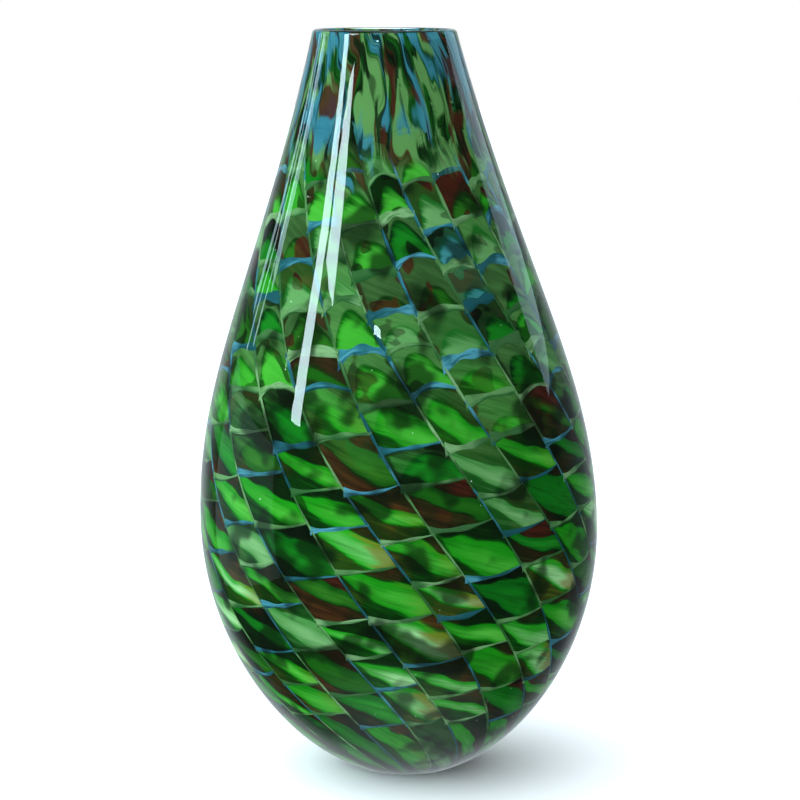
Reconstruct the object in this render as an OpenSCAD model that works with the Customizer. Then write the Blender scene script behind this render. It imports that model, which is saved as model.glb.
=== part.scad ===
// Hand blown art glass vase: a teardrop body with a leaning neck, cased in clear glass.
// The colour is a mosaic of glass chips between spiral seam threads and level wrap threads,
// which lies on a green ground and is sealed between a clear core and a clear casing.
// The origin is the centre of the base, on the surface that the vase stands on.

/* [Body] */
// Height from the base to the lip
vase_height = 352; // [330:1:380]
// Greatest outer radius, at the belly
belly_radius = 95; // [90:1:100]
// Height of the greatest radius
belly_height = 119; // [112:1:126]
// Outer radius at the lip
mouth_radius = 33.4; // [30:0.2:36]
// How far below the base the full teardrop would reach, which sets the width of the ground flat foot
foot_cut = 5.2; // [4.5:0.1:6.5]
// How far the lip lies to -X of the foot
neck_lean = 10; // [0:0.5:14]
// Slope of the neck wall from vertical, in degrees
neck_angle = 14; // [12:0.5:16]

/* [Layers] */
// Thickness of the clear outer casing at the belly
casing_wall = 2.4; // [2:0.1:3]
// Thickness of the chips and threads at the belly
mosaic_wall = 1.1; // [0.8:0.1:1.2]
// Room behind each chip, so that its flat facets clear the curved ground
facet_room = 0.7; // [0.6:0.05:0.9]
// Thickness of the green ground at the belly
ground_wall = 0.8; // [0.6:0.1:1.2]
// Thickness of the clear core at the belly
core_wall = 2.4; // [2:0.1:4]
// Air between one layer and the next
layer_gap = 0.12; // [0.1:0.01:0.2]
// Wall thickness at the lip, as a share of the thickness at the belly
lip_thinning = 0.62; // [0.55:0.01:0.8]
// Thickness of clear glass under the green ground
base_casing = 4; // [3:0.5:6]
// Height of the floor of the inside
inside_floor = 17; // [14:1:22]

/* [Mosaic] */
// Spiral ribs round the vase
rib_count = 20; // [20]
// Bearing of the first seam at mid height, in degrees from the front, to the right
first_seam = -3; // [-20:1:20]
// Distance along the wall from one wrap thread to the next
row_pitch = 20; // [19:0.1:20]
// Distance along the wall from the foot to the lowest wrap thread
first_row = 60; // [56:1:62]
// Distance along the wall from the foot to the start of the chips
foot_row = 8; // [6:1:12]
// Distance along the wall from the end of the chips to the lip
lip_margin = 4.5; // [4:0.5:12]
// How much a wrap thread rises from one seam to the next
wrap_rise = 4; // [0:0.5:6]
// How far a wrap thread may lie above or below its even place
row_wander = 3; // [0:0.5:3.5]
// How far a seam may stray to each side of its even place, in degrees
seam_wander = 1.2; // [0:0.1:1.5]
// Width of a seam thread at the belly
seam_width = 1.6; // [1.2:0.1:2.4]
// Width of a wrap thread at the belly
wrap_width = 2.4; // [1.6:0.1:3.2]
// Space between neighbouring pieces of the mosaic at the belly
piece_gap = 0.3; // [0.25:0.05:0.5]

/* [Hidden] */
$fn = 96;

// Which chip lies in each place. Each line is one row, the top row first.
// Each letter is one rib. G bright green, D dark green, O oxblood, S sage, T teal, A amber.
CHART = [
    "OGSOSTDTSSOTTOSTOSTD",
    "SGDSGOSDOSGSOSGSDOSG",
    "GOSDOGGGGGSOGDSOGGDS",
    "DGOGSDOSGDTSDOGDSGOG",
    "GSGTDGSSOOTDGSOGGDSO",
    "ODSGODOGSSDGOGDSOGGD",
    "SGDOGGOGGGDSGDGGDSOG",
    "GOGGSDGGGGODGSODGGDS",
    "DGSDOGODSGDGOGGSODGG",
    "GAOGGGGOSDGGDADGGOSD",
    "OGGSDAGGDGADGOGADGGA",
    "ADAGOGADAOGADGAGOADG",
    "GADSAAGAGADGAAOAGDAO",
    "AOGOAAGADGAOGDADAGOA",
    "DGGDAADGADGASGDGADGG",
    "GDDGSGGDGGDSGDGSDGDG"
];
row_count = len(CHART);
first_rib = -7;

// The wall, from the foot to the lip, as two cubic curves that meet at the belly.
curve_steps = 16;
foot_handle = 0.51;
low_handle = 0.53;
high_handle = 0.31;
neck_handle = 0.484;
neck_rise = vase_height - belly_height;
LOW_CURVE = [
    [0, -foot_cut],
    [foot_handle * belly_radius, -foot_cut],
    [belly_radius, belly_height - low_handle * (belly_height + foot_cut)],
    [belly_radius, belly_height]
];
HIGH_CURVE = [
    [belly_radius, belly_height],
    [belly_radius, belly_height + high_handle * neck_rise],
    [mouth_radius + neck_handle * neck_rise * tan(neck_angle), vase_height - neck_handle * neck_rise],
    [mouth_radius, vase_height]
];
function bezier(c, t) = let (u = 1 - t)
    u * u * u * c[0] + 3 * u * u * t * c[1] + 3 * u * t * t * c[2] + t * t * t * c[3];

// The wall starts a little below the foot, so that the tipped vase can be ground level there.
// The place where the lower curve reaches that height is found by halving.
foot_stock = 1.5;
function foot_step(low, high, turns) = let (mid = (low + high) / 2)
    turns == 0 ? mid
    : bezier(LOW_CURVE, mid)[1] < -foot_stock ? foot_step(mid, high, turns - 1)
    : foot_step(low, mid, turns - 1);
foot_t = foot_step(0.02, 0.5, 30);
WALL = concat(
    [for (i = [0:curve_steps]) bezier(LOW_CURVE, foot_t + (1 - foot_t) * i / curve_steps)],
    [for (i = [1:curve_steps]) bezier(HIGH_CURVE, i / curve_steps)]
);
last_point = len(WALL) - 1;

// Distance along the wall from the foot to each point of it.
function add_up(i) = i == 0 ? 0 : add_up(i - 1) + norm(WALL[i] - WALL[i - 1]);
ALONG = [for (i = [0:last_point]) add_up(i)];
wall_length = ALONG[last_point];
RADIUS_AT = [for (i = [0:last_point]) [ALONG[i], WALL[i][0]]];
HEIGHT_AT = [for (i = [0:last_point]) [ALONG[i], WALL[i][1]]];

// The direction into the glass at each point of the wall.
function inward(i) = let (
        before = WALL[max(i - 1, 0)],
        after = WALL[min(i + 1, last_point)],
        along = (after - before) / norm(after - before)
    ) [-along[1], along[0]];
INWARD_R = [for (i = [0:last_point]) [ALONG[i], inward(i)[0]]];
INWARD_Z = [for (i = [0:last_point]) [ALONG[i], inward(i)[1]]];

// The wall is thinner towards the lip.
thinning_start = 200;
function thickness(s) = lookup(s, [[thinning_start, 1], [wall_length, lip_thinning]]);
function wall_point(s, depth) = [
    lookup(s, RADIUS_AT) + depth * thickness(s) * lookup(s, INWARD_R),
    lookup(s, HEIGHT_AT) + depth * thickness(s) * lookup(s, INWARD_Z)
];

// Depth below the outer surface at which each layer starts and ends, at the belly.
mosaic_top = casing_wall + layer_gap;
mosaic_bottom = mosaic_top + mosaic_wall;
ground_top = mosaic_bottom + facet_room;
ground_bottom = ground_top + ground_wall;
core_top = ground_bottom + layer_gap;
core_bottom = core_top + core_wall;

// The lean: the whole vase is tipped about the middle of its foot, which is ground level.
tilt = atan(neck_lean / vase_height);
past = 20;
module leaning() {
    rotate([0, -tilt, 0]) rotate_extrude() children();
}

// Half section of all that lies deeper than depth, between two heights.
module inside(depth, floor, top) {
    intersection() {
        polygon(concat(
            [[0, -past]],
            [for (s = ALONG) wall_point(s, depth)],
            [wall_point(wall_length, depth) + [0, past], [0, vase_height + past]]
        ));
        translate([0, floor]) square([belly_radius + past, top - floor]);
    }
}

// The casing closes over the inner layers in a rounded lip.
lip_radius = core_bottom * lip_thinning / 2;
lip_height = vase_height - lip_radius;
layers_top = lip_height - 1.5;
ground_floor = base_casing;
core_floor = ground_floor + ground_wall + layer_gap;

module outer_casing() {
    color([0.80, 0.93, 0.86, 0.35]) difference() {
        leaning() {
            difference() {
                inside(0, -foot_stock, lip_height);
                inside(casing_wall, ground_floor - layer_gap, layers_top + layer_gap);
                inside(core_bottom, layers_top, vase_height + past);
            }
            translate([mouth_radius - lip_radius + lip_radius * tan(neck_angle), lip_height])
                circle(r = lip_radius);
        }
        translate([-belly_radius, -belly_radius, -past])
            cube([2 * belly_radius, 2 * belly_radius, past]);
    }
}

module green_ground() {
    color([0.05, 0.33, 0.10]) leaning() difference() {
        inside(ground_top, ground_floor, layers_top);
        inside(ground_bottom, core_floor - layer_gap, vase_height + past);
    }
}

module core_gather() {
    color([0.86, 0.95, 0.90, 0.35]) leaning() difference() {
        inside(core_top, core_floor, layers_top);
        inside(core_bottom, inside_floor, vase_height + past);
    }
}

// Flats of a chip across its rib and along the wall, and along the wall in the two longest rows.
chip_steps = 2;
long_chip_steps = 5;

// Bearing of a seam, in degrees from the front. Seams run down to the right,
// more steeply above mid height than below it.
mid_length = 196;
mean_twist = 0.387;
twist_change = 0.0425;
change_length = 40;
function twist(s) = let (d = s - mid_length)
    twist_change * (sqrt(d * d + change_length * change_length) - change_length) - mean_twist * d;
rib_angle = 360 / rib_count;
function seam(i, s) =
    first_seam + rib_angle * i + twist(s) + seam_wander * sin(7 * rib_angle * i + 1.7 * s);

// Where the wrap thread below row j of rib i starts, measured along the wall. The lowest row
// starts near the foot, and the highest row ends near the lip, each with no wrap thread there.
function row_start(i, j) =
    j == 0 ? foot_row
    : j == row_count ? wall_length - lip_margin
    : first_row + row_pitch * (j - 1) + row_wander * sin(137 * i + 71 * j);
function row_line(i, j, across) =
    row_start(i, j) + (j == 0 || j == row_count ? 0 : wrap_rise * across);

// A point of the mosaic: across is 0 at the left seam of rib i and 1 at its right seam.
function mosaic_point(bearing, s, depth) = let (
        p = wall_point(s, depth)
    ) [
        p[0] * sin(bearing) * cos(tilt) - p[1] * sin(tilt),
        -p[0] * cos(bearing),
        p[0] * sin(bearing) * sin(tilt) + p[1] * cos(tilt)
    ];

// Half the width of a gap or thread, in degrees, at a place along the wall.
function half_angle(width, s) = width / 2 * thickness(s) / lookup(s, RADIUS_AT) * 180 / PI;

// A curved block of the mosaic from a grid of places, each a bearing and a length along the wall.
module block(grid) {
    rows = len(grid);
    columns = len(grid[0]);
    count = rows * columns;
    function at(r, c) = r * columns + c;
    points = [
        for (depth = [mosaic_top, mosaic_bottom]) for (line = grid) for (p = line)
            mosaic_point(p[0], p[1], depth)
    ];
    faces = concat(
        [for (r = [0:rows - 2]) for (c = [0:columns - 2]) each [
            [at(r, c), at(r + 1, c), at(r + 1, c + 1)],
            [at(r, c), at(r + 1, c + 1), at(r, c + 1)],
            [count + at(r, c), count + at(r + 1, c + 1), count + at(r + 1, c)],
            [count + at(r, c), count + at(r, c + 1), count + at(r + 1, c + 1)]
        ]],
        [for (r = [0:rows - 2]) for (side = [[0, 0], [columns - 1, 1]]) each
            side[1] == 0
            ? [[at(r, 0), count + at(r, 0), count + at(r + 1, 0)],
               [at(r, 0), count + at(r + 1, 0), at(r + 1, 0)]]
            : [[at(r, side[0]), count + at(r + 1, side[0]), count + at(r, side[0])],
               [at(r, side[0]), at(r + 1, side[0]), count + at(r + 1, side[0])]]],
        [for (c = [0:columns - 2]) each [
            [at(0, c), count + at(0, c + 1), count + at(0, c)],
            [at(0, c), at(0, c + 1), count + at(0, c + 1)],
            [at(rows - 1, c), count + at(rows - 1, c), count + at(rows - 1, c + 1)],
            [at(rows - 1, c), count + at(rows - 1, c + 1), at(rows - 1, c + 1)]
        ]]
    );
    polyhedron(points, faces, convexity = 4);
}

// A place between two seams, kept clear of both seam threads.
function between_seams(i, across, s) = let (
        clear = half_angle(seam_width + 2 * piece_gap, s)
    ) (1 - across) * (seam(i, s) + clear) + across * (seam(i + 1, s) - clear);

// The chip of rib i in row j fills the space between its seams and its wrap threads.
module chip(i, j) {
    clear = wrap_width / 2 + piece_gap;
    steps = j == 0 || j == row_count - 1 ? long_chip_steps : chip_steps;
    block([for (r = [0:steps]) [for (c = [0:chip_steps]) let (
            across = c / chip_steps,
            low = row_line(i, j, across) + clear,
            high = row_line(i, j + 1, across) - clear,
            s = low + (high - low) * r / steps
        ) [between_seams(i, across, s), s]]]);
}

module chips(letter) {
    for (j = [0:row_count - 1]) for (i = [0:rib_count - 1])
        if (CHART[row_count - 1 - j][i] == letter) chip(i + first_rib, j);
}

module bright_green_chips() { color([0.10, 0.56, 0.12]) chips("G"); }
module dark_green_chips() { color([0.04, 0.26, 0.09]) chips("D"); }
module oxblood_chips() { color([0.32, 0.11, 0.08]) chips("O"); }
module sage_chips() { color([0.42, 0.62, 0.38]) chips("S"); }
module teal_chips() { color([0.22, 0.50, 0.54]) chips("T"); }
module amber_chips() { color([0.62, 0.66, 0.26]) chips("A"); }

// One length of the seam thread on the left of rib i, beside row j.
function seam_is_blue(i, j) = (3 * i + 2 * j + 70) % 7 < 3;
module seam_length(i, j) {
    low = (j == 0 ? foot_row : first_row + row_pitch * (j - 1)) + piece_gap / 2;
    high = (j == row_count - 1 ? wall_length - lip_margin : first_row + row_pitch * j) - piece_gap / 2;
    steps = j == 0 || j == row_count - 1 ? long_chip_steps : 1;
    block([for (r = [0:steps]) [for (side = [-1, 1]) let (
            s = low + (high - low) * r / steps
        ) [seam(i, s) + side * half_angle(seam_width, s), s]]]);
}

module seam_threads(blue) {
    for (j = [0:row_count - 1]) for (i = [0:rib_count - 1])
        if (seam_is_blue(i + first_rib, j) == blue) seam_length(i + first_rib, j);
}

module sage_seam_threads() { color([0.50, 0.68, 0.46]) seam_threads(false); }
module blue_seam_threads() { color([0.26, 0.52, 0.62]) seam_threads(true); }

// One length of the wrap thread below row j, from seam to seam across rib i.
function wrap_is_blue(i, j) = (5 * i + 3 * j + 90) % 8 < 3;
module wrap_length(i, j) {
    block([for (side = [-1, 1]) [for (c = [0:chip_steps]) let (
            across = c / chip_steps,
            s = row_line(i, j, across) + side * wrap_width / 2
        ) [between_seams(i, across, s), s]]]);
}

module wrap_threads(blue) {
    for (j = [1:row_count - 1]) for (i = [0:rib_count - 1])
        if (wrap_is_blue(i + first_rib, j) == blue) wrap_length(i + first_rib, j);
}

module sage_wrap_threads() { color([0.56, 0.74, 0.52]) wrap_threads(false); }
module blue_wrap_threads() { color([0.30, 0.56, 0.66]) wrap_threads(true); }

core_gather();
green_ground();
bright_green_chips();
dark_green_chips();
oxblood_chips();
sage_chips();
teal_chips();
amber_chips();
sage_seam_threads();
blue_seam_threads();
sage_wrap_threads();
blue_wrap_threads();
outer_casing();
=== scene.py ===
import math
import random

import bpy
import numpy as np
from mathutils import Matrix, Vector


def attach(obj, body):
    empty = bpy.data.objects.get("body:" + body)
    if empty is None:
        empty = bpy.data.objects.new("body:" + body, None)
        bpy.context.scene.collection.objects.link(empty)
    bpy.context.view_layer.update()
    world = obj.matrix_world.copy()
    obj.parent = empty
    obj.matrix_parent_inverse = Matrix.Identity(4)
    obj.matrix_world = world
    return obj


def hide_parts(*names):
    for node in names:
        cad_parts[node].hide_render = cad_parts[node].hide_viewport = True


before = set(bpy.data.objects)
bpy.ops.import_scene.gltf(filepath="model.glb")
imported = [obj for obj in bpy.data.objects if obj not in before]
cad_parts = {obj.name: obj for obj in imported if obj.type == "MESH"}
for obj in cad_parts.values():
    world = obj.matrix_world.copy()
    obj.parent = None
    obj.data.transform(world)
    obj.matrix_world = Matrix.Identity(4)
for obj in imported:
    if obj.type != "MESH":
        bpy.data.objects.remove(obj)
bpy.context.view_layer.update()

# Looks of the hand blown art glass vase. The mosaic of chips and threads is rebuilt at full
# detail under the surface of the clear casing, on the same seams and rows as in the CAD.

# ---------------------------------------------------------------------------
# The shape of the vase, in metres and degrees, by the same rules as the CAD
# ---------------------------------------------------------------------------

MM = 0.001
VASE_HEIGHT = 352 * MM
# A little inside the CAD's 95 mm, so that the finer meshes stay in its box.
BELLY_RADIUS = 94.8 * MM
BELLY_HEIGHT = 119 * MM
MOUTH_RADIUS = 33.4 * MM
FOOT_CUT = 5.2 * MM
FOOT_STOCK = 1.5 * MM
NECK_LEAN = 10 * MM
NECK_ANGLE = math.radians(14)

# Lengths of the outline's curve handles, as shares of the radius or height they belong to.
FOOT_HANDLE = 0.51
LOW_HANDLE = 0.53
HIGH_HANDLE = 0.31
NECK_HANDLE = 0.484

# The layers of the wall, from the outside in. The wall is thinner towards the lip.
CASING_WALL = 2.4 * MM
MOSAIC_WALL = 1.1 * MM
FACET_ROOM = 0.7 * MM
GROUND_WALL = 0.8 * MM
CORE_WALL = 2.4 * MM
LAYER_GAP = 0.12 * MM
LIP_THINNING = 0.62
THINNING_START = 200 * MM
BASE_CASING = 4 * MM
INSIDE_FLOOR = 17 * MM

MOSAIC_TOP = CASING_WALL + LAYER_GAP
MOSAIC_BOTTOM = MOSAIC_TOP + MOSAIC_WALL
GROUND_TOP = MOSAIC_BOTTOM + FACET_ROOM
GROUND_BOTTOM = GROUND_TOP + GROUND_WALL
CORE_BOTTOM = GROUND_BOTTOM + LAYER_GAP + CORE_WALL
LIP_RADIUS = CORE_BOTTOM * LIP_THINNING / 2
LIP_HEIGHT = VASE_HEIGHT - LIP_RADIUS
LAYERS_TOP = LIP_HEIGHT - 1.5 * MM

# The spiral of the ribs. Places up the vase are lengths along the wall, from the axis under the foot.
RIB_COUNT = 20
FIRST_RIB = -7
FIRST_SEAM = -3.0
RIB_ANGLE = 360 / RIB_COUNT
SEAM_WANDER = 1.2

# The spiral turns by MEAN_TWIST degrees a metre, and by TWIST_CHANGE more below the middle of the wall
# and less above it.
MID_LENGTH = 196 * MM
MEAN_TWIST = 387
TWIST_CHANGE = 42.5
CHANGE_LENGTH = 40 * MM

# The rows across the ribs, and the threads.
ROW_PITCH = 20 * MM
FIRST_ROW = 60 * MM
FOOT_ROW = 8 * MM
LIP_CLEAR = 1.0 * MM
WRAP_RISE = 4 * MM
ROW_WANDER = 3 * MM
SEAM_WIDTH = 1.6 * MM
WRAP_WIDTH = 2.4 * MM
THREAD_HEIGHT = 0.35 * MM

# One line a row, the top row first, and one letter a rib.
# G bright green, D dark green, O oxblood, S sage, T teal, A amber.
CHART = [
    "OGSOSTDTSSOTTOSTOSTD",
    "SGDSGOSDOSGSOSGSDOSG",
    "GOSDOGGGGGSOGDSOGGDS",
    "DGOGSDOSGDTSDOGDSGOG",
    "GSGTDGSSOOTDGSOGGDSO",
    "ODSGODOGSSDGOGDSOGGD",
    "SGDOGGOGGGDSGDGGDSOG",
    "GOGGSDGGGGODGSODGGDS",
    "DGSDOGODSGDGOGGSODGG",
    "GAOGGGGOSDGGDADGGOSD",
    "OGGSDAGGDGADGOGADGGA",
    "ADAGOGADAOGADGAGOADG",
    "GADSAAGAGADGAAOAGDAO",
    "AOGOAAGADGAOGDADAGOA",
    "DGGDAADGADGASGDGADGG",
    "GDDGSGGDGGDSGDGSDGDG",
]
ROW_COUNT = len(CHART)


def bezier(corners, steps):
    """Points of a cubic curve at each step from 0 to 1."""
    a, b, c, d = (np.array(corner) for corner in corners)
    t = np.asarray(steps)[:, None]
    u = 1 - t
    return u**3 * a + 3 * u * u * t * b + 3 * u * t * t * c + t**3 * d


def wall_outline(count):
    """Radius and height of the outer wall from just under the foot to the lip."""
    neck_rise = VASE_HEIGHT - BELLY_HEIGHT
    lower = [
        (0, -FOOT_CUT),
        (FOOT_HANDLE * BELLY_RADIUS, -FOOT_CUT),
        (BELLY_RADIUS, BELLY_HEIGHT - LOW_HANDLE * (BELLY_HEIGHT + FOOT_CUT)),
        (BELLY_RADIUS, BELLY_HEIGHT),
    ]
    upper = [
        (BELLY_RADIUS, BELLY_HEIGHT),
        (BELLY_RADIUS, BELLY_HEIGHT + HIGH_HANDLE * neck_rise),
        (
            MOUTH_RADIUS + NECK_HANDLE * neck_rise * math.tan(NECK_ANGLE),
            VASE_HEIGHT - NECK_HANDLE * neck_rise,
        ),
        (MOUTH_RADIUS, VASE_HEIGHT),
    ]
    low = bezier(lower, np.linspace(0, 1, count))
    # Most of the round bottom goes here. Each layer's profile then starts at its own flat floor.
    low = low[low[:, 1] > -FOOT_STOCK]
    high = bezier(upper, np.linspace(0, 1, count))
    return np.vstack([low, high[1:]])


CURVE_POINTS = 400
OUTLINE = wall_outline(CURVE_POINTS)
STEP_LENGTHS = np.hypot(*np.diff(OUTLINE, axis=0).T)

# Where each point of the outline lies along the wall, and which way the wall runs there.
ALONG = np.concatenate([[0], np.cumsum(STEP_LENGTHS)])
WALL_LENGTH = ALONG[-1]
TANGENT = np.gradient(OUTLINE, ALONG, axis=0)
TANGENT /= np.linalg.norm(TANGENT, axis=1)[:, None]


def wall_radius(s):
    """Outer radius at a length along the wall."""
    return np.interp(s, ALONG, OUTLINE[:, 0])


def thickness(s):
    """The wall is thinner towards the lip."""
    return np.interp(s, [THINNING_START, WALL_LENGTH], [1, LIP_THINNING])


def section(s, depth):
    """Radius and height of a point under place s on the wall, at a depth below the outer surface."""
    reach = depth * thickness(s)
    radius = wall_radius(s) - reach * np.interp(s, ALONG, TANGENT[:, 1])
    height = np.interp(s, ALONG, OUTLINE[:, 1]) + reach * np.interp(s, ALONG, TANGENT[:, 0])
    return radius, height


def turned(bearing, radius, height):
    """A point of the leaning vase. Bearing is in degrees from the front, to the right."""
    angle = np.radians(bearing)
    x = radius * np.sin(angle) - NECK_LEAN * height / VASE_HEIGHT
    return np.stack([x, -radius * np.cos(angle), height + 0 * angle], axis=-1)


def twist(s):
    """Turn of the spiral in degrees, a little faster in the lower half than in the upper one."""
    d = s - MID_LENGTH
    return TWIST_CHANGE * (np.sqrt(d * d + CHANGE_LENGTH**2) - CHANGE_LENGTH) - MEAN_TWIST * d


def seam(i, s):
    """Bearing of the seam on the left of rib i."""
    stray = SEAM_WANDER * np.sin(np.radians(7 * RIB_ANGLE * i + 1.7 * s / MM))
    return FIRST_SEAM + RIB_ANGLE * i + twist(s) + stray


def wandering_row(i, j):
    """Where row j of rib i starts. The odd angles make neighbours stray by unlike amounts."""
    stray = ROW_WANDER * math.sin(math.radians(137 * i + 71 * j))
    return FIRST_ROW + ROW_PITCH * (j - 1) + stray


def row_line(i, j, across):
    """The line between row j and the row below it, across rib i."""
    if j == 0:
        return FOOT_ROW + 0 * across
    if j == ROW_COUNT:
        return WALL_LENGTH - LIP_CLEAR + 0 * across
    return wandering_row(i, j) + WRAP_RISE * across + row_arch(i, j) * np.sin(math.pi * across)


# How far a wrap thread arches up over its cell, in mm: the least, and what chance adds to it.
UPPER_ARCH = (0.6, 3.2)
LOWER_ARCH = (-1.8, 2.2)


def row_arch(i, j):
    """Wrap threads arch up over the cells high on the vase and mostly sag low on it."""
    least, spread = UPPER_ARCH if j > ROW_COUNT / 2 else LOWER_ARCH
    return (least + spread * lot(i, j, ARCH_LOT)) * MM


# What each steady number is for.
CHIP_LOTS = (0, 1, 2)
SEAM_PHASE_LOT = 3
SEAM_WIDTH_LOT = 4
ARCH_LOT = 5
SEAM_LOTS = (6, 7, 8)
WRAP_WEB_LOT = 9
WRAP_WAVE_LOT = 10
WRAP_PHASE_LOT = 11
WRAP_LOTS = (12, 13, 14)
WRAP_WIDTH_LOT = 15


def lot(i, j, purpose):
    """A steady number from 0 to 1 for rib i, row j and a purpose, the same in every run."""
    return random.Random(1009 * (i % RIB_COUNT) + 31 * j + 7 * purpose).random()


def lots(i, j, purposes):
    """Steady numbers for several purposes."""
    return [lot(i, j, purpose) for purpose in purposes]


# ---------------------------------------------------------------------------
# Meshes
# ---------------------------------------------------------------------------


def new_mesh(name, points, faces, smooth=True):
    """A piece from an array of points and a list of faces."""
    mesh = bpy.data.meshes.new(name)
    mesh.from_pydata(points.tolist(), [], faces)
    mesh.validate()
    if smooth:
        mesh.shade_smooth()
    piece = bpy.data.objects.new(name, mesh)
    bpy.context.scene.collection.objects.link(piece)
    return piece


def place_piece(piece, slot, material, *nodes):
    """Give a piece its material, and let it stand in for CAD nodes. The slot is not used."""
    piece.data.materials.append(material)
    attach(piece, "root")
    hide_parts(*nodes)


def add_vector(piece, name, values):
    """A vector for each point, for the materials to read."""
    layer = piece.data.attributes.new(name, "FLOAT_VECTOR", "POINT")
    layer.data.foreach_set("vector", np.asarray(values, np.float32).ravel())


def ring_faces(ring_count, around):
    """Quads between rings of a closed lathe."""
    ring = np.arange(ring_count - 1)[:, None] * around
    spot = np.arange(around)[None, :]
    after = (spot + 1) % around
    quads = np.stack([ring + spot, ring + after, ring + around + after, ring + around + spot], axis=-1)
    return quads.reshape(-1, 4)


def lathe(name, profile, around):
    """A closed shell of revolution from a profile that starts and ends on the axis."""
    bearings = np.arange(around) * 360 / around
    rings = [turned(bearings, radius, height) for radius, height in profile[1:-1]]
    points = np.vstack(rings)
    ends = turned(np.zeros(2), np.zeros(2), np.array([profile[0][1], profile[-1][1]]))
    first = len(points)
    last = first + 1
    top = (len(rings) - 1) * around
    faces = ring_faces(len(rings), around).tolist()
    faces += [(first, (k + 1) % around, k) for k in range(around)]
    faces += [(last, top + k, top + (k + 1) % around) for k in range(around)]
    return new_mesh(name, np.vstack([points, ends]), faces)


WALL_POINTS = 220
FLOOR_POINTS = 11


def layer_profile(depth, floor, top):
    """Profile of a layer boundary, from the axis at its floor up to its top edge."""
    radius, height = section(np.linspace(0, WALL_LENGTH, WALL_POINTS), depth)
    keep = (height > floor) & (height < top)
    radius, height = radius[keep], height[keep]
    floor_radii = np.linspace(0, radius[0], FLOOR_POINTS + 1)[:-1]
    return [(r, floor) for r in floor_radii] + list(zip(radius, height))


# ---------------------------------------------------------------------------
# Node materials from short expressions
# ---------------------------------------------------------------------------


class Value:
    """A number or vector socket that can be used in sums."""

    def __init__(self, shader, socket):
        self.shader = shader
        self.socket = socket

    def __add__(self, other):
        return self.shader.math("ADD", self, other)

    def __radd__(self, other):
        return self.shader.math("ADD", other, self)

    def __sub__(self, other):
        return self.shader.math("SUBTRACT", self, other)

    def __rsub__(self, other):
        return self.shader.math("SUBTRACT", other, self)

    def __mul__(self, other):
        return self.shader.math("MULTIPLY", self, other)

    def __rmul__(self, other):
        return self.shader.math("MULTIPLY", other, self)

    def __truediv__(self, other):
        return self.shader.math("DIVIDE", self, other)


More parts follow.
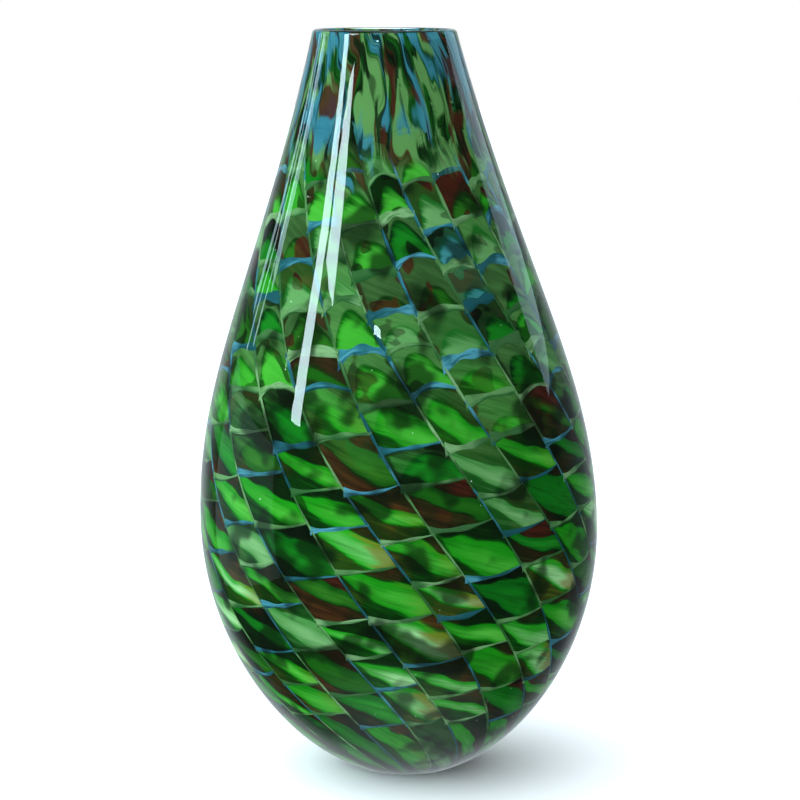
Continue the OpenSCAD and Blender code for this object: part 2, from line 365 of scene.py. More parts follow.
class Shader:
    """A node material or world under construction."""

    def __init__(self, owner, output_type="ShaderNodeOutputMaterial"):
        self.owner = owner
        owner.use_nodes = True
        self.tree = owner.node_tree
        self.tree.nodes.clear()
        self.output = self.tree.nodes.new(output_type)

    def feed(self, socket, value):
        """Link a value to a socket, or set it there when it is plain numbers."""
        if isinstance(value, Value):
            self.tree.links.new(value.socket, socket)
        elif isinstance(value, (tuple, list)) and len(value) == 3 and socket.type == "RGBA":
            socket.default_value = (*value, 1)
        else:
            socket.default_value = value

    def math(self, operation, *values):
        node = self.tree.nodes.new("ShaderNodeMath")
        node.operation = operation
        for socket, value in zip(node.inputs, values):
            self.feed(socket, value)
        return Value(self, node.outputs[0])

    def between(self, value, low, high, interpolation="LINEAR"):
        """0 at low and beyond it, 1 at high and beyond it."""
        node = self.tree.nodes.new("ShaderNodeMapRange")
        node.interpolation_type = interpolation
        self.feed(node.inputs["Value"], value)
        self.feed(node.inputs["From Min"], low)
        self.feed(node.inputs["From Max"], high)
        return Value(self, node.outputs["Result"])

    def smooth(self, value, low, high):
        """0 below low, 1 above high, and a smooth step between."""
        return self.between(value, low, high, "SMOOTHSTEP")

    def mix(self, amount, first, second):
        """The first colour or number at 0, the second at 1."""
        node = self.tree.nodes.new("ShaderNodeMix")
        node.data_type = "RGBA"
        sockets = [socket for socket in node.inputs if socket.enabled]
        for socket, value in zip(sockets, (amount, first, second)):
            self.feed(socket, value)
        return Value(self, next(socket for socket in node.outputs if socket.enabled))

    def split(self, vector):
        """The three numbers of a vector."""
        node = self.tree.nodes.new("ShaderNodeSeparateXYZ")
        self.feed(node.inputs[0], vector)
        return [Value(self, socket) for socket in node.outputs]

    def parts(self, name):
        """The three numbers of a vector that the mesh holds for each point."""
        source = self.tree.nodes.new("ShaderNodeAttribute")
        source.attribute_name = name
        return self.split(Value(self, source.outputs["Vector"]))

    def ray(self, kind):
        """1 for rays of a kind, such as Camera, and 0 for others."""
        node = self.tree.nodes.new("ShaderNodeLightPath")
        return Value(self, node.outputs[f"Is {kind} Ray"])

    def vector(self, x, y, z):
        node = self.tree.nodes.new("ShaderNodeCombineXYZ")
        for socket, value in zip(node.inputs, (x, y, z)):
            self.feed(socket, value)
        return Value(self, node.outputs[0])

    def position(self, space="Object"):
        node = self.tree.nodes.new("ShaderNodeTexCoord")
        return Value(self, node.outputs[space])

    def noise(self, vector, scale, detail=2.0, roughness=0.5):
        node = self.tree.nodes.new("ShaderNodeTexNoise")
        self.feed(node.inputs["Vector"], vector)
        node.inputs["Scale"].default_value = scale
        node.inputs["Detail"].default_value = detail
        node.inputs["Roughness"].default_value = roughness
        return Value(self, node.outputs["Fac"])

    def ramp(self, value, stops):
        """Colours that blend from one to the next, each at its place from 0 to 1."""
        node = self.tree.nodes.new("ShaderNodeValToRGB")
        marks = node.color_ramp.elements
        while len(marks) < len(stops):
            marks.new(1.0)
        for mark, (place, colour) in zip(marks, stops):
            mark.position = place
            mark.color = (*colour, 1)
        self.feed(node.inputs[0], value)
        return Value(self, node.outputs[0])

    def bump(self, height, strength, distance):
        node = self.tree.nodes.new("ShaderNodeBump")
        node.inputs["Strength"].default_value = strength
        node.inputs["Distance"].default_value = distance
        self.feed(node.inputs["Height"], height)
        return Value(self, node.outputs["Normal"])

    def principled(self, **settings):
        """A Principled shader. Underscores in a setting's name stand for spaces."""
        node = self.tree.nodes.new("ShaderNodeBsdfPrincipled")
        for name, value in settings.items():
            self.feed(node.inputs[name.replace("_", " ")], value)
        return node.outputs[0]

    def finish(self, surface):
        self.tree.links.new(surface, self.output.inputs["Surface"])
        return self.owner


def new_shader(name):
    return Shader(bpy.data.materials.new(name))


# ---------------------------------------------------------------------------
# Glass colours, as linear red, green and blue
# ---------------------------------------------------------------------------

BLACK_GREEN = (0.0035, 0.0070, 0.0030)
BROWN = (0.040, 0.013, 0.007)
RED_BROWN = (0.105, 0.016, 0.010)
AMBER_TINT = (0.250, 0.135, 0.022)
PALE_SAGE = (0.130, 0.310, 0.090)

# letter: the chip's letter in the chart.
# deep, body, light: a chip's colours, from its darkest to its brightest streaks. The light one is a painted
# glow.
# heart: how strong that painted glow is. shade: how much dark glass lies over it.
# warmth: how brown that dark glass is. amber: how much a leaf warms to amber at its end.
# veil: how much sage glass lies over a chip that is high on the vase.
FAMILIES = {
    "bright_green": {
        "letter": "G",
        "deep": (0.003, 0.070, 0.004), "body": (0.012, 0.275, 0.008), "light": (0.100, 0.500, 0.055),
        "heart": 0.85, "shade": 0.92, "warmth": 0.00, "amber": 0.25, "veil": 0.80,
    },
    "dark_green": {
        "letter": "D",
        "deep": (0.002, 0.022, 0.004), "body": (0.004, 0.135, 0.008), "light": (0.020, 0.310, 0.022),
        "heart": 0.60, "shade": 1.00, "warmth": -0.03, "amber": 0.0, "veil": 0.65,
    },
    "oxblood": {
        "letter": "O",
        "deep": (0.005, 0.024, 0.004), "body": (0.008, 0.095, 0.006), "light": (0.050, 0.230, 0.020),
        "heart": 0.45, "shade": 1.00, "warmth": 0.11, "amber": 0.0, "veil": 0.45,
    },
    "sage": {
        "letter": "S",
        "deep": (0.014, 0.135, 0.016), "body": (0.085, 0.290, 0.072), "light": (0.210, 0.430, 0.170),
        "heart": 0.75, "shade": 0.65, "warmth": 0.00, "amber": 0.0, "veil": 0.80,
    },
    "teal": {
        "letter": "T",
        "deep": (0.006, 0.075, 0.040), "body": (0.022, 0.170, 0.140), "light": (0.080, 0.320, 0.380),
        "heart": 0.75, "shade": 0.70, "warmth": -0.05, "amber": 0.0, "veil": 0.45,
    },
    "amber": {
        "letter": "A",
        "deep": (0.005, 0.125, 0.007), "body": (0.024, 0.370, 0.016), "light": (0.400, 0.720, 0.330),
        "heart": 1.00, "shade": 0.92, "warmth": 0.02, "amber": 0.9, "veil": 0.60,
    },
}

THREADS = {
    "sage_thread": {
        "deep": (0.020, 0.100, 0.025), "body": (0.130, 0.300, 0.105), "light": (0.270, 0.460, 0.220),
    },
    "blue_thread": {
        "deep": (0.010, 0.070, 0.080), "body": (0.036, 0.190, 0.250), "light": (0.110, 0.380, 0.500),
    },
}

GROUND_DEEP = (0.006, 0.040, 0.010)
GROUND_BODY = (0.020, 0.180, 0.026)
GROUND_LIGHT = (0.060, 0.250, 0.060)
# The painted glint on the seed bubbles: pale colours that stand in for the light a bubble mirrors.
PAINTED_GLINT_DIM = (0.60, 0.75, 0.66)
PAINTED_GLINT_BRIGHT = (0.95, 1.0, 0.97)

# The colours that are drawn out into flames at the neck: sage, blue, brown and black-green. Later
# ones lie over earlier ones. Each has its number of tongues to a rib, their number along the wall, the
# noise level above which it shows, and how much it gains towards the lip.
FLAME_GREEN = (0.008, 0.110, 0.010)
FLAMES = [
    ((0.120, 0.290, 0.085), 2.4, 15, 0.45, 0.0),
    ((0.040, 0.200, 0.270), 2.0, 11, 0.58, 0.13),
    ((0.060, 0.014, 0.008), 2.3, 15, 0.54, -0.02),
    ((0.004, 0.014, 0.005), 3.4, 13, 0.58, 0.0),
]
# Places up the wall, as shares of its length.
LEAVES_END = 0.46
DOMES_START = 0.62
NECK_START = 0.815
NECK_FULL = 0.865
LIP_FLAMES_START = 0.86


def flames(shader, turn, along):
    """Tall S-shaped tongues of colour, more than two to a rib."""
    sway = shader.noise(shader.vector(1.3 * turn, 9 * along, 0.0), 1.0, 1) - 0.5
    lean = 6 * along + 0.22 * shader.math("SINE", 32 * along - 0.6)
    across = turn + lean + 1.3 * sway
    drawn = shader.noise(shader.vector(9 * across, 9 * along, 7.7), 1.0, 2, 0.6)
    colour = shader.mix(shader.smooth(drawn, 0.35, 0.65), BLACK_GREEN, FLAME_GREEN)
    at_lip = shader.smooth(along, LIP_FLAMES_START, 1.0)
    for layer, (tint, across_count, up_count, free, gain) in enumerate(FLAMES):
        place = shader.vector(across_count * across, up_count * along, 2.7 * layer)
        tongue = shader.noise(place, 1.0, 1, 0.5) + 0.10 * (drawn - 0.5) + gain * at_lip
        colour = shader.mix(0.92 * shader.smooth(tongue, free, free + 0.07), colour, tint)
    return shader.mix(0.65 * shader.smooth(drawn, 0.54, 0.66), colour, BLACK_GREEN)


def dark_glass(shader, position, warmth, streaks):
    """The dark glass between the leaves: black-green with streaky patches of brown and of red."""
    patches = shader.noise(position, 34, 2) + warmth
    colour = shader.mix(shader.smooth(patches, 0.44, 0.56), BLACK_GREEN, BROWN)
    colour = shader.mix(0.8 * shader.smooth(patches, 0.60, 0.68), colour, RED_BROWN)
    return shader.mix(0.7 * (1 - streaks), colour, BLACK_GREEN)


def deepen(shader, colour):
    """Darker places that run on from one chip to the next."""
    cloud = shader.noise(shader.position(), 44, 2, 0.5)
    return shader.mix(0.80 * shader.smooth(cloud, 0.53, 0.64), colour, BLACK_GREEN)


def chip_streaks(shader, u, v, along, chance):
    """Wide streaks, streaks and soft streaks that follow the leaf across a chip."""
    slant = v + 0.75 * u + 0.16 * (shader.noise(shader.position(), 40, 1) - 0.5)
    wide_place = shader.vector(1.0 * u + 9 * chance[0], 5.0 * slant + 5 * chance[1], 30 * along)
    wide = shader.noise(wide_place, 1.0, 2, 0.5)
    fine = shader.noise(shader.vector(1.3 * u, 20 * slant, 9 * chance[2]), 1.0, 2, 0.6)
    streaks = shader.smooth(0.6 * wide + 0.4 * fine, 0.36, 0.64)
    soft_streaks = 0.5 + 0.45 * (wide - 0.5) + 0.25 * (streaks - 0.5)
    return wide, streaks, soft_streaks


def chip_leaf(shader, u, v, chance):
    """The bright leaf that runs down to the right, the painted glow down its middle, and the dark sides of
    it.
    """
    leaf_middle = 0.96 - 0.86 * u + 0.42 * (chance[1] - 0.5)
    leaf_width = 0.10 + (0.08 + 0.40 * chance[0]) * shader.smooth(u, -0.20, 0.65)
    offset = (v - leaf_middle) / leaf_width
    leaf = (1 - shader.smooth(offset, 0.86, 1.0)) * shader.smooth(offset, -1.20, -0.95)
    # lens is a painted glow, strongest just below the middle line of the leaf.
    lens = 1 - shader.smooth(shader.math("ABSOLUTE", offset + 0.2), 0.15, 0.95)
    above = shader.smooth(offset, 0.90, 1.10)
    below = 1 - shader.smooth(offset, -1.45, -1.15)
    return leaf, lens, 0.97 * above + 0.70 * below


def chip_dome(shader, u, v, chance, soft_streaks):
    """The dome of a chip high on the vase, and the painted light on it: brightest low in its middle, with
    painted shade towards its edges and under the arch.
    """
    middle = u - 0.40 - 0.20 * chance[2]
    depth = 0.88 - 0.40 * chance[1] - 1.9 * middle * middle - v
    dome = shader.smooth(depth, -0.02, 0.07)
    painted_dome_light = shader.smooth(depth + 0.35 * (soft_streaks - 0.5), 0.03, 0.34)
    return dome, painted_dome_light


def chip_patch(shader, u, v, chance):
    """Dark patches beside some domes."""
    place = shader.vector(1.6 * u + 7 * chance[0], 1.4 * v + 9 * chance[1], 5 * chance[2])
    return shader.smooth(shader.noise(place, 1.0, 1), 0.57, 0.60)


def chip_material(name, look):
    """A chip: a leaf of bright colour low on the vase, and a dome with sage glass over it high up."""
    shader = new_shader(name)
    u, v, along = shader.parts("cell")
    chance = shader.parts("lot")
    turn = shader.parts("place")[0]
    position = shader.position()
    wide, streaks, soft_streaks = chip_streaks(shader, u, v, along, chance)

    # The edges inside a chip are drawn out by the heat.
    u = u + 0.50 * (shader.noise(position, 34, 1) - 0.5)
    v = v + 0.62 * (shader.noise(position, 52, 1) - 0.5)
    low_down = 1 - shader.smooth(along + 0.10 * (chance[2] - 0.5), LEAVES_END, DOMES_START)
    leaf, lens, beside_leaf = chip_leaf(shader, u, v, chance)
    dome, painted_dome_light = chip_dome(shader, u, v, chance, soft_streaks)

    # The chip's colour from deep to body. High up, painted shade darkens a dome under its arch.
    heart = low_down * leaf + (1 - low_down) * dome * painted_dome_light
    streaks = shader.mix(low_down, soft_streaks, streaks)
    body = shader.smooth(0.6 * heart + 0.6 * streaks, 0.25, 0.95)
    colour = shader.mix(body, look["deep"], look["body"])
    # The light colour goes on as a painted glow down the middle of a leaf, and as a painted highlight on a
    # dome.
    strength = look["heart"] * (0.30 + 1.0 * chance[2])
    painted_glow = low_down * leaf * lens * shader.smooth(u, -0.1, 0.75) + (1 - low_down) * 0.55 * dome * painted_dome_light
    core = 1.25 * painted_glow * (0.50 + 0.65 * streaks) * strength
    colour = shader.mix(shader.math("MINIMUM", core, 1.0), colour, look["light"])

    # Some leaves warm to amber at their lower right end.
    warm = leaf * shader.smooth(u + 0.9 * (wide - 0.5), 0.66, 0.90) * low_down * look["amber"]
    colour = shader.mix(0.7 * warm * shader.smooth(chance[1], 0.35, 0.65), colour, AMBER_TINT)

    # Sage glass fills the corners above most domes.
    veiled = shader.smooth(chance[0], 0.10, 0.30)
    wash = (1 - dome) * veiled * (1 - low_down)
    colour = shader.mix(wash * look["veil"] * (0.20 + 0.80 * streaks), colour, PALE_SAGE)

    # Dark glass above and below the leaf, beside some domes and above others, and a painted shadow along the
    # left edge of some chips, next to the seam.
    shade_high = 0.85 * chip_patch(shader, u, v, chance) + 0.9 * (1 - dome) * (1 - veiled)
    shade = (low_down * beside_leaf + (1 - low_down) * shade_high) * look["shade"]
    painted_seam_shadow = (1 - shader.smooth(u, 0.02, 0.08)) * shader.smooth(chance[0], 0.2, 0.5)
    shade = shader.math("MINIMUM", shader.math("MAXIMUM", shade, 0.75 * painted_seam_shadow), 1.0)
    dark = dark_glass(shader, position, 0.22 * (chance[1] - 0.5) + look["warmth"], streaks)
    colour = deepen(shader, shader.mix(shade, colour, dark))

    # At the neck the chips are drawn out into flames, with a ragged start.
    ragged = 0.12 * (shader.noise(position, 70, 1) - 0.5)
    neck = shader.smooth(along + ragged + 0.04 * (chance[0] - 0.5), NECK_START, NECK_FULL)
    colour = shader.mix(neck, colour, flames(shader, turn, along))
    return shader.finish(shader.principled(Base_Color=colour, Roughness=0.55, Specular_IOR_Level=0.0))


def thread_material(name, look):
    """A thread: deeper along one edge, streaked with paler glass, and faded in places."""
    shader = new_shader(name)
    lengthwise, across, along = shader.parts("cell")
    chance = shader.parts("lot")
    turn = shader.parts("place")[0]
    drawn = shader.vector(2.5 * lengthwise + 11 * chance[0], 3.0 * across, 60 * along)
    streak = shader.noise(drawn, 1.0, 3, 0.6)
    colour = shader.mix(shader.smooth(across + 0.7 * (streak - 0.5), 0.05, 0.55), look["deep"], look["body"])
    pale = shader.smooth(streak + 0.35 * (chance[1] - 0.5), 0.46, 0.70)
    colour = shader.mix(0.75 * pale, colour, look["light"])
    fade = shader.smooth(shader.noise(shader.position(), 42, 2) + 0.25 * (chance[2] - 0.5), 0.42, 0.56)
    colour = deepen(shader, shader.mix(0.85 * (1 - fade), colour, look["deep"]))
    neck = shader.smooth(along, NECK_START, NECK_FULL)
    colour = shader.mix(neck, colour, flames(shader, turn, along))
    return shader.finish(shader.principled(Base_Color=colour, Roughness=0.45, Specular_IOR_Level=0.0))


def ground_material():
    """Deep green glass, cloudy with paler green."""
    shader = new_shader("green_ground_glass")
    position = shader.position()
    cloud = shader.noise(position, 30, 4, 0.6)
    fine = shader.noise(position, 140, 3, 0.6)
    colour = shader.mix(shader.smooth(cloud, 0.35, 0.68), GROUND_DEEP, GROUND_BODY)
    colour = shader.mix(0.5 * shader.smooth(fine, 0.5, 0.75), colour, GROUND_LIGHT)
    return shader.finish(shader.principled(Base_Color=colour, Roughness=0.4, Specular_IOR_Level=0.2))


GLASS_IOR = 1.5
RIPPLE_DEPTH = 0.8 * MM


def clear_material(name, tint, ripple):
    """Clear, faintly rippled glass that lets light through to the colours inside it."""
    shader = new_shader(name)
    waves = shader.noise(shader.position(), 22, 2) + 0.03 * shader.noise(shader.position(), 190, 2)
    surface_normal = shader.bump(waves, ripple, RIPPLE_DEPTH)
    glass = shader.principled(
        Base_Color=tint, Roughness=0.0, IOR=GLASS_IOR, Transmission_Weight=1.0, Normal=surface_normal
    )
    clear = shader.tree.nodes.new("ShaderNodeBsdfTransparent")
    shader.feed(clear.inputs["Color"], tint)
    either = shader.tree.nodes.new("ShaderNodeMixShader")
    shader.feed(either.inputs[0], shader.ray("Shadow"))
    shader.tree.links.new(glass, either.inputs[1])
    shader.tree.links.new(clear.outputs[0], either.inputs[2])
    return shader.finish(either.outputs[0])


# ---------------------------------------------------------------------------
# The mosaic
# ---------------------------------------------------------------------------

# A chip's grid has this many points each way, and its back lies this share of the layer below its front.
CELL_STEPS = 14
BACK_SHARE = 0.85

# A thread has this many points along it and round it, is sunk by a share of its height, and runs past
# the end of its cell. Threads are wider from the first of the upper rows to the last.
THREAD_STEPS = 26
THREAD_SIDES = 8
THREAD_SINK = 0.35
SEAM_OVERRUN = 2 * MM
WRAP_OVERRUN = 0.02
UPPER_ROWS = (7, 10)

# Shares of a thread's length: the points of a seam thread, and how fast the webs of a wrap thread
# thin out from its left and right ends.
SEAM_POINT = 0.10
LEFT_WEB = 0.14
RIGHT_WEB = 0.15


def block_faces(rows, columns):
    """Faces of a closed block with a front and a back grid of the same size."""
    count = rows * columns
    index = np.arange(count).reshape(rows, columns)
    a, b, c, d = index[:-1, :-1], index[:-1, 1:], index[1:, 1:], index[1:, :-1]
    front = np.stack([a, b, c, d], axis=-1).reshape(-1, 4)
    back = front[:, ::-1] + count
    edge = np.concatenate([index[0, :-1], index[:-1, -1], index[-1, :0:-1], index[:0:-1, 0]])
    after = np.roll(edge, -1)
    side = np.stack([edge, edge + count, after + count, after], axis=-1)
    return np.vstack([front, back, side])


def cell_block(i, j):
    """Points of the chip of rib i in row j, their places in its cell, and their bearings."""
    across, upward = np.meshgrid(np.linspace(0, 1, CELL_STEPS), np.linspace(0, 1, CELL_STEPS))
    low = row_line(i, j, across)
    high = row_line(i, j + 1, across)
    s = low + (high - low) * upward
    bearing = seam(i, s) + across * (seam(i + 1, s) - seam(i, s))
    layers = []
    for depth in (MOSAIC_TOP, MOSAIC_TOP + BACK_SHARE * MOSAIC_WALL):
        radius, height = section(s, depth)
        layers.append(turned(bearing, radius, height).reshape(-1, 3))
    cell = np.stack([across, upward, s / WALL_LENGTH], axis=-1).reshape(-1, 3)
    return np.vstack(layers), np.vstack([cell, cell]), np.tile(bearing.ravel(), 2)


def join_blocks(name, blocks):
    """One piece from blocks of points, faces, places in the cell, bearings and steady numbers."""
    points, faces, cells, all_chances, turns = [], [], [], [], []
    start = 0
    for own_points, own_faces, cell, bearing, chances in blocks:
        count = len(own_points)
        points.append(own_points)
        faces.append(own_faces + start)
        cells.append(cell)
        all_chances.append(np.tile(chances, (count, 1)))
        turns.append(np.stack([bearing / RIB_ANGLE, np.zeros(count), np.zeros(count)], axis=-1))
        start += count
    piece = new_mesh(name, np.vstack(points), np.vstack(faces).tolist())
    add_vector(piece, "cell", np.vstack(cells))
    add_vector(piece, "lot", np.vstack(all_chances))
    add_vector(piece, "place", np.vstack(turns))
    return piece


def chip_blocks(letter):
    """The chips of one colour, which have one letter in the chart."""
    faces = block_faces(CELL_STEPS, CELL_STEPS)
    for j in range(ROW_COUNT):
        for column in range(RIB_COUNT):
            if CHART[ROW_COUNT - 1 - j][column] == letter:
                i = column + FIRST_RIB
                points, cell, bearing = cell_block(i, j)
                yield points, faces, cell, bearing, lots(i, j, CHIP_LOTS)


def ribbon(bearing, s, half_width, sideways, chances):
    """A flat thread with a rounded section along a line of places on the wall.

    sideways is the direction across the thread: (1, 0) for round the vase, (0, 1) for up it.
    """
    count = len(s)
    angles = np.arange(THREAD_SIDES) * 2 * math.pi / THREAD_SIDES
    radius_here = wall_radius(s)
    points, cell = [], []
    for angle in angles:
        reach = half_width * math.cos(angle)
        side_bearing = bearing + sideways[0] * np.degrees(reach / radius_here)
        side_s = s + sideways[1] * reach
        depth = MOSAIC_TOP + THREAD_HEIGHT * (THREAD_SINK - math.sin(angle))
        radius, height = section(side_s, depth)
        points.append(turned(side_bearing, radius, height))
        across = np.full(count, 0.5 + 0.5 * math.cos(angle))
        cell.append(np.stack([np.linspace(0, 1, count), across, s / WALL_LENGTH], axis=-1))
    points = np.stack(points, axis=1).reshape(-1, 3)
    cell = np.stack(cell, axis=1).reshape(-1, 3)
    return points, tube_faces(count, THREAD_SIDES), cell, np.repeat(bearing, THREAD_SIDES), chances


def tube_faces(count, sides):
    """Faces of a closed tube of rings, with its flat ends cut into quads."""
    ring = np.arange(count - 1)[:, None] * sides
    spot = np.arange(sides)[None, :]
    after = (spot + 1) % sides
    walls = np.stack([ring + spot, ring + sides + spot, ring + sides + after, ring + after], axis=-1)
    caps = np.array([[k - 1, k, sides - 1 - k, sides - k] for k in range(1, sides // 2)])
    end = caps[:, ::-1] + (count - 1) * sides
    return np.vstack([walls.reshape(-1, 4), caps, end])


def seam_is_blue(i, j):
    """The same choice as in the CAD."""
    return (3 * i + 2 * j + 70) % 7 < 3


def wrap_is_blue(i, j):
    """The same choice as in the CAD."""
    return (5 * i + 3 * j + 90) % 8 < 3


def seam_blocks(blue):
    """Lengths of the seam threads, each thinned to a point at both ends."""
    for j in range(ROW_COUNT):
        for column in range(RIB_COUNT):
            i = column + FIRST_RIB
            if seam_is_blue(i, j) != blue:
                continue
            low = FOOT_ROW if j == 0 else FIRST_ROW + ROW_PITCH * (j - 1)
            high = WALL_LENGTH - LIP_CLEAR if j == ROW_COUNT - 1 else FIRST_ROW + ROW_PITCH * j
            end = min(high + SEAM_OVERRUN, WALL_LENGTH - LIP_CLEAR)
            s = np.linspace(low - SEAM_OVERRUN, end, THREAD_STEPS)
            t = np.linspace(0, 1, THREAD_STEPS)
            pinch = np.minimum(1, np.minimum(t, 1 - t) / SEAM_POINT)
            swell = 0.70 + 0.50 * np.sin(math.pi * (t + lot(i, j, SEAM_PHASE_LOT))) ** 2
            swell *= 1 + 0.8 * lot(i, j, SEAM_WIDTH_LOT) * np.interp(j, UPPER_ROWS, [0, 1])
            half = 0.5 * SEAM_WIDTH * thickness(s) * (0.15 + 0.85 * pinch) * swell
            yield ribbon(seam(i, s), s, half, (1, 0), lots(i, j, SEAM_LOTS))


def wrap_blocks(blue):
    """Lengths of the wrap threads: wide where they leave the left seam, thin at the right one."""
    for j in range(1, ROW_COUNT):
        for column in range(RIB_COUNT):
            i = column + FIRST_RIB
            if wrap_is_blue(i, j) != blue:
                continue
            across = np.linspace(-WRAP_OVERRUN, 1 + WRAP_OVERRUN, THREAD_STEPS)
            s = row_line(i, j, across)
            bearing = seam(i, s) + across * (seam(i + 1, s) - seam(i, s))
            high_up = float(np.interp(j, UPPER_ROWS, [0, 1]))
            web = (1.1 + 1.2 * high_up) * np.exp(-across / LEFT_WEB)
            web += (0.35 + 0.9 * high_up) * lot(i, j, WRAP_WEB_LOT) * np.exp(-(1 - across) / RIGHT_WEB)
            phase = across * (1 + lot(i, j, WRAP_WAVE_LOT)) + lot(i, j, WRAP_PHASE_LOT)
            wave = 0.40 + 0.40 * np.sin(math.pi * phase) ** 2
            wave *= 1 + high_up * 0.4 + (0.9 + 1.9 * high_up) * lot(i, j, WRAP_WIDTH_LOT)
            taper = np.interp(across, [0.55, 1 + WRAP_OVERRUN], [1, 0.30 + 0.7 * high_up])
            half = 0.5 * WRAP_WIDTH * thickness(s) * (wave + web) * taper
            yield ribbon(bearing, s, half, (0, 1), lots(i, j, WRAP_LOTS))


for family, look in FAMILIES.items():
    chips = join_blocks(f"{family}_glass", chip_blocks(look["letter"]))
    place_piece(chips, family, chip_material(f"{family}_glass", look), f"{family}_chips")

for colour_name, blue in (("sage", False), ("blue", True)):
    material = thread_material(f"{colour_name}_thread_glass", THREADS[f"{colour_name}_thread"])
    seams = join_blocks(f"{colour_name}_seams", seam_blocks(blue))
    place_piece(seams, f"{colour_name}_thread", material, f"{colour_name}_seam_threads")
    wraps = join_blocks(f"{colour_name}_wraps", wrap_blocks(blue))
    place_piece(wraps, f"{colour_name}_thread", material, f"{colour_name}_wrap_threads")

# ---------------------------------------------------------------------------
# The clear core, the green ground and the clear casing
# ---------------------------------------------------------------------------

AROUND = 256
# Angles on the lip's round, from straight out, in radians.
LIP_ARC_START = 0.12
LIP_ARC_END = math.pi - 0.05
LIP_ARC_STEPS = 18
FUSED_OVERLAP = 0.3 * MM
CASING_TINT = (0.93, 0.98, 0.95)
CASING_RIPPLE = 0.17
CORE_TINT = (0.90, 0.97, 0.92)
CORE_RIPPLE = 0.25


def lip_arc():
    """The rounded lip, from the outer wall over the top to the inside."""
    centre = MOUTH_RADIUS - LIP_RADIUS + LIP_RADIUS * math.tan(NECK_ANGLE)
    angles = np.linspace(LIP_ARC_START, LIP_ARC_END, LIP_ARC_STEPS)
    return [(centre + LIP_RADIUS * math.cos(a), LIP_HEIGHT + LIP_RADIUS * math.sin(a)) for a in angles]


def casing_profile():
    """Up the outside, over the lip, and down inside the mosaic layer to the floor of the casing."""
    back = MOSAIC_TOP + 0.5 * MOSAIC_WALL
    outer = layer_profile(0, 0, LIP_HEIGHT)
    core_side = layer_profile(CORE_BOTTOM, LAYERS_TOP, LIP_HEIGHT)[FLOOR_POINTS:]
    inner = layer_profile(back, BASE_CASING, LAYERS_TOP)
    return outer + lip_arc() + core_side[::-1] + inner[::-1]


def ground_profile():
    """The ground lies between the mosaic and the core."""
    outer = layer_profile(GROUND_TOP, BASE_CASING, LAYERS_TOP)
    inner = layer_profile(GROUND_BOTTOM, BASE_CASING + GROUND_WALL, LAYERS_TOP)
    return outer + inner[::-1]


def core_profile():
    """The core reaches a little into the ground, as fused glass does."""
    outer = layer_profile(GROUND_BOTTOM - FUSED_OVERLAP, BASE_CASING + 0.5 * GROUND_WALL, LAYERS_TOP)
    inner = layer_profile(CORE_BOTTOM, INSIDE_FLOOR, LAYERS_TOP)
    return outer + inner[::-1]


casing = lathe("clear_casing", casing_profile(), AROUND)
casing_glass = clear_material("clear_casing_glass", CASING_TINT, CASING_RIPPLE)
place_piece(casing, "clear_casing", casing_glass, "outer_casing")
ground = lathe("ground", ground_profile(), AROUND)
place_piece(ground, "green_ground", ground_material(), "green_ground")
core = lathe("clear_core", core_profile(), AROUND)
core_glass = clear_material("clear_core_glass", CORE_TINT, CORE_RIPPLE)
place_piece(core, "clear_core", core_glass, "core_gather")

BUBBLE_COUNT = 90
BUBBLE_DEPTH = 1.0 * MM
FOOT_TO_BUBBLES = 30 * MM
BUBBLES_TO_LIP = 20 * MM
# Radii in mm, the points on each belt, and a belt's latitude in radians.
BUBBLE_RADII = [0.14, 0.18, 0.24, 0.34]
BUBBLE_SIDES = 6
BUBBLE_BELT = 0.6


def unit_bubble():
    """Points of a small ball: its two poles, then a lower and an upper belt."""
    angles = np.arange(BUBBLE_SIDES) * 2 * math.pi / BUBBLE_SIDES
    belts = [
        (math.cos(a) * math.cos(e), math.sin(a) * math.cos(e), math.sin(e))
        for e in (-BUBBLE_BELT, BUBBLE_BELT) for a in angles
    ]
    return np.array([(0, 0, 1), (0, 0, -1)] + belts)


def bubbles():
    """Seed bubbles in the casing, joined into one piece."""
    scatter = random.Random(11)
    unit = unit_bubble()
    ring = [(2 + k, 2 + (k + 1) % BUBBLE_SIDES) for k in range(BUBBLE_SIDES)]
    up = BUBBLE_SIDES
    points, faces = [], []
    for bubble in range(BUBBLE_COUNT):
        s = scatter.uniform(FOOT_TO_BUBBLES, WALL_LENGTH - BUBBLES_TO_LIP)
        radius, height = section(np.array([s]), BUBBLE_DEPTH)
        centre = turned(np.array([scatter.uniform(-180, 180)]), radius, height)[0]
        start = len(unit) * bubble
        points.append(centre + unit * scatter.choice(BUBBLE_RADII) * MM)
        faces += [(start + 1, start + b, start + a) for a, b in ring]
        faces += [(start, start + a + up, start + b + up) for a, b in ring]
        faces += [(start + a, start + b, start + b + up) for a, b in ring]
        faces += [(start + a, start + b + up, start + a + up) for a, b in ring]
    return new_mesh("seed_bubbles", np.vstack(points), faces)


def bubble_material():
    """The skin of an air bubble, with a painted glint: pale colours that stand in for the light it mirrors.
    """
    shader = new_shader("bubble_painted_glint")
    painted_glint = shader.mix(shader.noise(shader.position(), 900, 1), PAINTED_GLINT_DIM, PAINTED_GLINT_BRIGHT)
    return shader.finish(shader.principled(Base_Color=painted_glint, Roughness=0.3, Specular_IOR_Level=0.8))


place_piece(bubbles(), "clear_casing", bubble_material(), "outer_casing")

# ---------------------------------------------------------------------------
# Floor, light and camera
# ---------------------------------------------------------------------------

FLOOR_SIDE = 12.0
FLOOR_DIM = (0.93, 0.93, 0.93)
FLOOR_BRIGHT = (0.96, 0.96, 0.96)


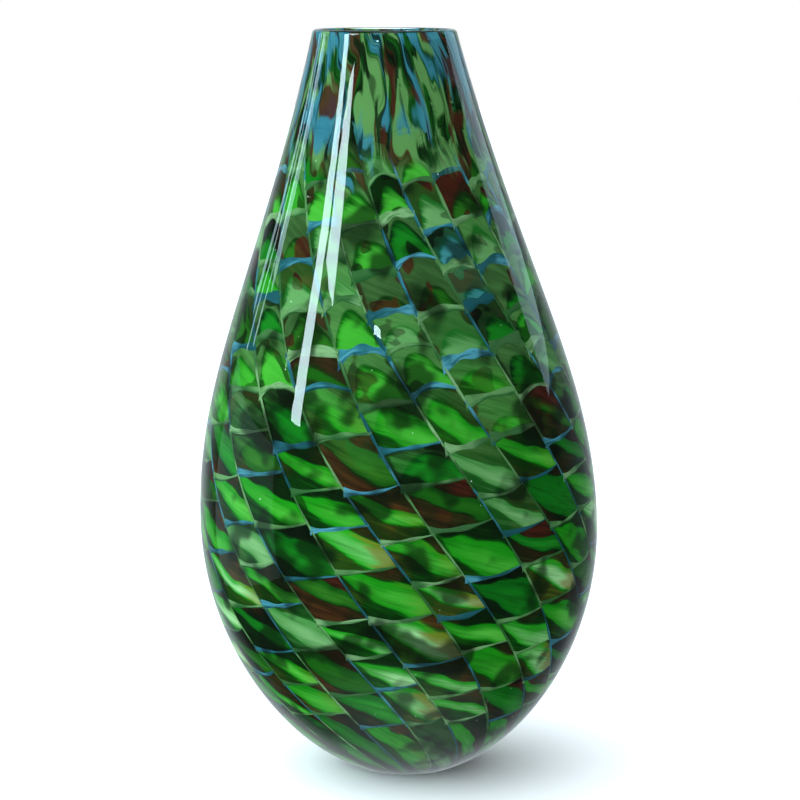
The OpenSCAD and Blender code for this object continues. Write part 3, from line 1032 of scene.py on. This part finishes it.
def floor_material():
    """Pale, faintly mottled card."""
    shader = new_shader("pale_floor")
    mottle = shader.noise(shader.position(), 3, 3)
    colour = shader.mix(mottle, FLOOR_DIM, FLOOR_BRIGHT)
    return shader.finish(shader.principled(Base_Color=colour, Roughness=0.6, Specular_IOR_Level=0.2))


floor_corners = np.array([(-1, -1, 0), (1, -1, 0), (1, 1, 0), (-1, 1, 0)]) * FLOOR_SIDE / 2
floor = new_mesh("floor", floor_corners, [(0, 1, 2, 3)], smooth=False)
floor.data.materials.append(floor_material())
floor.visible_glossy = False

# The panels of light stand round this point, all at the same distance.
VASE_MIDDLE = Vector((0, 0, 0.2))
PANEL_DISTANCE = 2.4


def direction(azimuth, elevation):
    """Unit vector. Azimuth is in degrees from the camera's side, to the right."""
    a, e = math.radians(azimuth), math.radians(elevation)
    return Vector((math.sin(a) * math.cos(e), -math.cos(a) * math.cos(e), math.sin(e)))


def panel(name, left, right, low, high, radiance, tint, on_everything):
    """A soft light that fills a window of the view from the vase, in degrees."""
    towards = direction((left + right) / 2, (low + high) / 2)
    light = bpy.data.lights.new(name, "AREA")
    light.shape = "RECTANGLE"
    light.size = 2 * PANEL_DISTANCE * math.tan(math.radians(abs(right - left) / 2))
    light.size *= math.cos(math.radians((low + high) / 2))
    light.size_y = 2 * PANEL_DISTANCE * math.tan(math.radians((high - low) / 2))
    light.energy = radiance * math.pi * light.size * light.size_y
    light.color = tint
    lamp = bpy.data.objects.new(name, light)
    lamp.location = VASE_MIDDLE + PANEL_DISTANCE * towards
    lamp.rotation_euler = (-towards).to_track_quat("-Z", "Y").to_euler()
    lamp.visible_diffuse = on_everything
    lamp.visible_transmission = on_everything
    bpy.context.scene.collection.objects.link(lamp)


COOL_WHITE = (0.72, 0.95, 1.0)
SKY_BLUE = (0.62, 0.86, 1.0)
WHITE = (1.0, 1.0, 1.0)

# Name, left, right, low and high edge, brightness, colour. These show only as reflections on the glass.
REFLECTED_PANELS = [
    ("window_left_pane", -67, -59.5, 11.5, 42, 17, COOL_WHITE),
    ("window_right_pane", -58, -46.5, 26.5, 44, 17, COOL_WHITE),
    ("side_strip_1", -113, -106, 14.5, 18, 4, SKY_BLUE),
    ("side_strip_2", -112.5, -111.3, 10, 40, 5, SKY_BLUE),
    ("side_strip_3", -119, -117.5, 8, 40, 4, SKY_BLUE),
    ("side_strip_4", -126, -122, 9, 40, 3, SKY_BLUE),
    ("left_wall", -128, -74, -25, 6, 0.35, SKY_BLUE),
    ("side_wall", 112, 146, 8, 34, 1.4, SKY_BLUE),
    ("lamp", -13.8, -9.0, 28.3, 28.9, 20, COOL_WHITE),
]
for settings in REFLECTED_PANELS:
    panel(*settings, on_everything=False)
panel("overhead", -40, 40, 62, 88, 1.2, WHITE, on_everything=True)

# The soft light is cool and strong from the left, warm and weak from the right.
LEFT_LIGHT = (3.30, 3.75, 4.10)
RIGHT_LIGHT = (0.15, 0.10, 0.05)

# The white table shows only in reflections that go steeply down.
TABLE = (0.42, 0.52, 0.50)
TABLE_FROM = -0.78
TABLE_TO = -0.98

ROOM = (0.020, 0.023, 0.023)
BRIGHT_WALL = (0.55, 0.62, 0.66)
SIDE_WALL = (0.15, 0.18, 0.20)

# What reflections show round the vase: bearing in degrees from the camera's side, to the right.
SURROUNDINGS = [
    (-180, BRIGHT_WALL),
    (-156, BRIGHT_WALL),
    (-140, SIDE_WALL),
    (-130, ROOM),
    (112, ROOM),
    (140, SIDE_WALL),
    (165, BRIGHT_WALL),
]


def build_world():
    """White to the camera, a room in reflections, and soft light from the left for the rest."""
    shader = Shader(bpy.data.worlds.new("studio"), "ShaderNodeOutputWorld")
    x, y, z = shader.split(shader.position("Generated"))

    bearing = shader.math("ARCTAN2", x, -1 * y)
    stops = [(0.5 + degrees / 360, tone) for degrees, tone in SURROUNDINGS]
    room = shader.ramp(shader.between(bearing, -math.pi, math.pi), stops)
    reflections = shader.mix(shader.between(z, TABLE_FROM, TABLE_TO), room, TABLE)
    soft_light = shader.mix(shader.between(x, -1.0, 1.0), LEFT_LIGHT, RIGHT_LIGHT)

    sharp = shader.math("GREATER_THAN", shader.ray("Glossy"), shader.ray("Transmission"))
    unseen = shader.mix(sharp, soft_light, reflections)
    background = shader.tree.nodes.new("ShaderNodeBackground")
    shader.feed(background.inputs["Color"], shader.mix(shader.ray("Camera"), unseen, WHITE))
    bpy.context.scene.world = shader.finish(background.outputs[0])


build_world()

# The focal length, the sensor width and the shifts that frame the vase as in the photo.
CAMERA_PLACE = Vector((0, -1.3, 0.385))
CAMERA_AIM = Vector((0, 0, 0.178))
CAMERA_LENS = 124.5
CAMERA_SENSOR = 36
CAMERA_SHIFT_X = -0.0075
CAMERA_SHIFT_Y = -0.0028

camera_data = bpy.data.cameras.new("camera")
camera_data.lens = CAMERA_LENS
camera_data.sensor_width = CAMERA_SENSOR
camera_data.shift_x = CAMERA_SHIFT_X
camera_data.shift_y = CAMERA_SHIFT_Y
camera = bpy.data.objects.new("camera", camera_data)
camera.location = CAMERA_PLACE
camera.rotation_euler = (CAMERA_AIM - CAMERA_PLACE).to_track_quat("-Z", "Y").to_euler()
bpy.context.scene.collection.objects.link(camera)
bpy.context.scene.camera = camera

bpy.context.scene.view_settings.view_transform = "Standard"
bpy.context.scene.cycles.max_bounces = 16
bpy.context.scene.cycles.transmission_bounces = 12
bpy.context.scene.cycles.transparent_max_bounces = 12
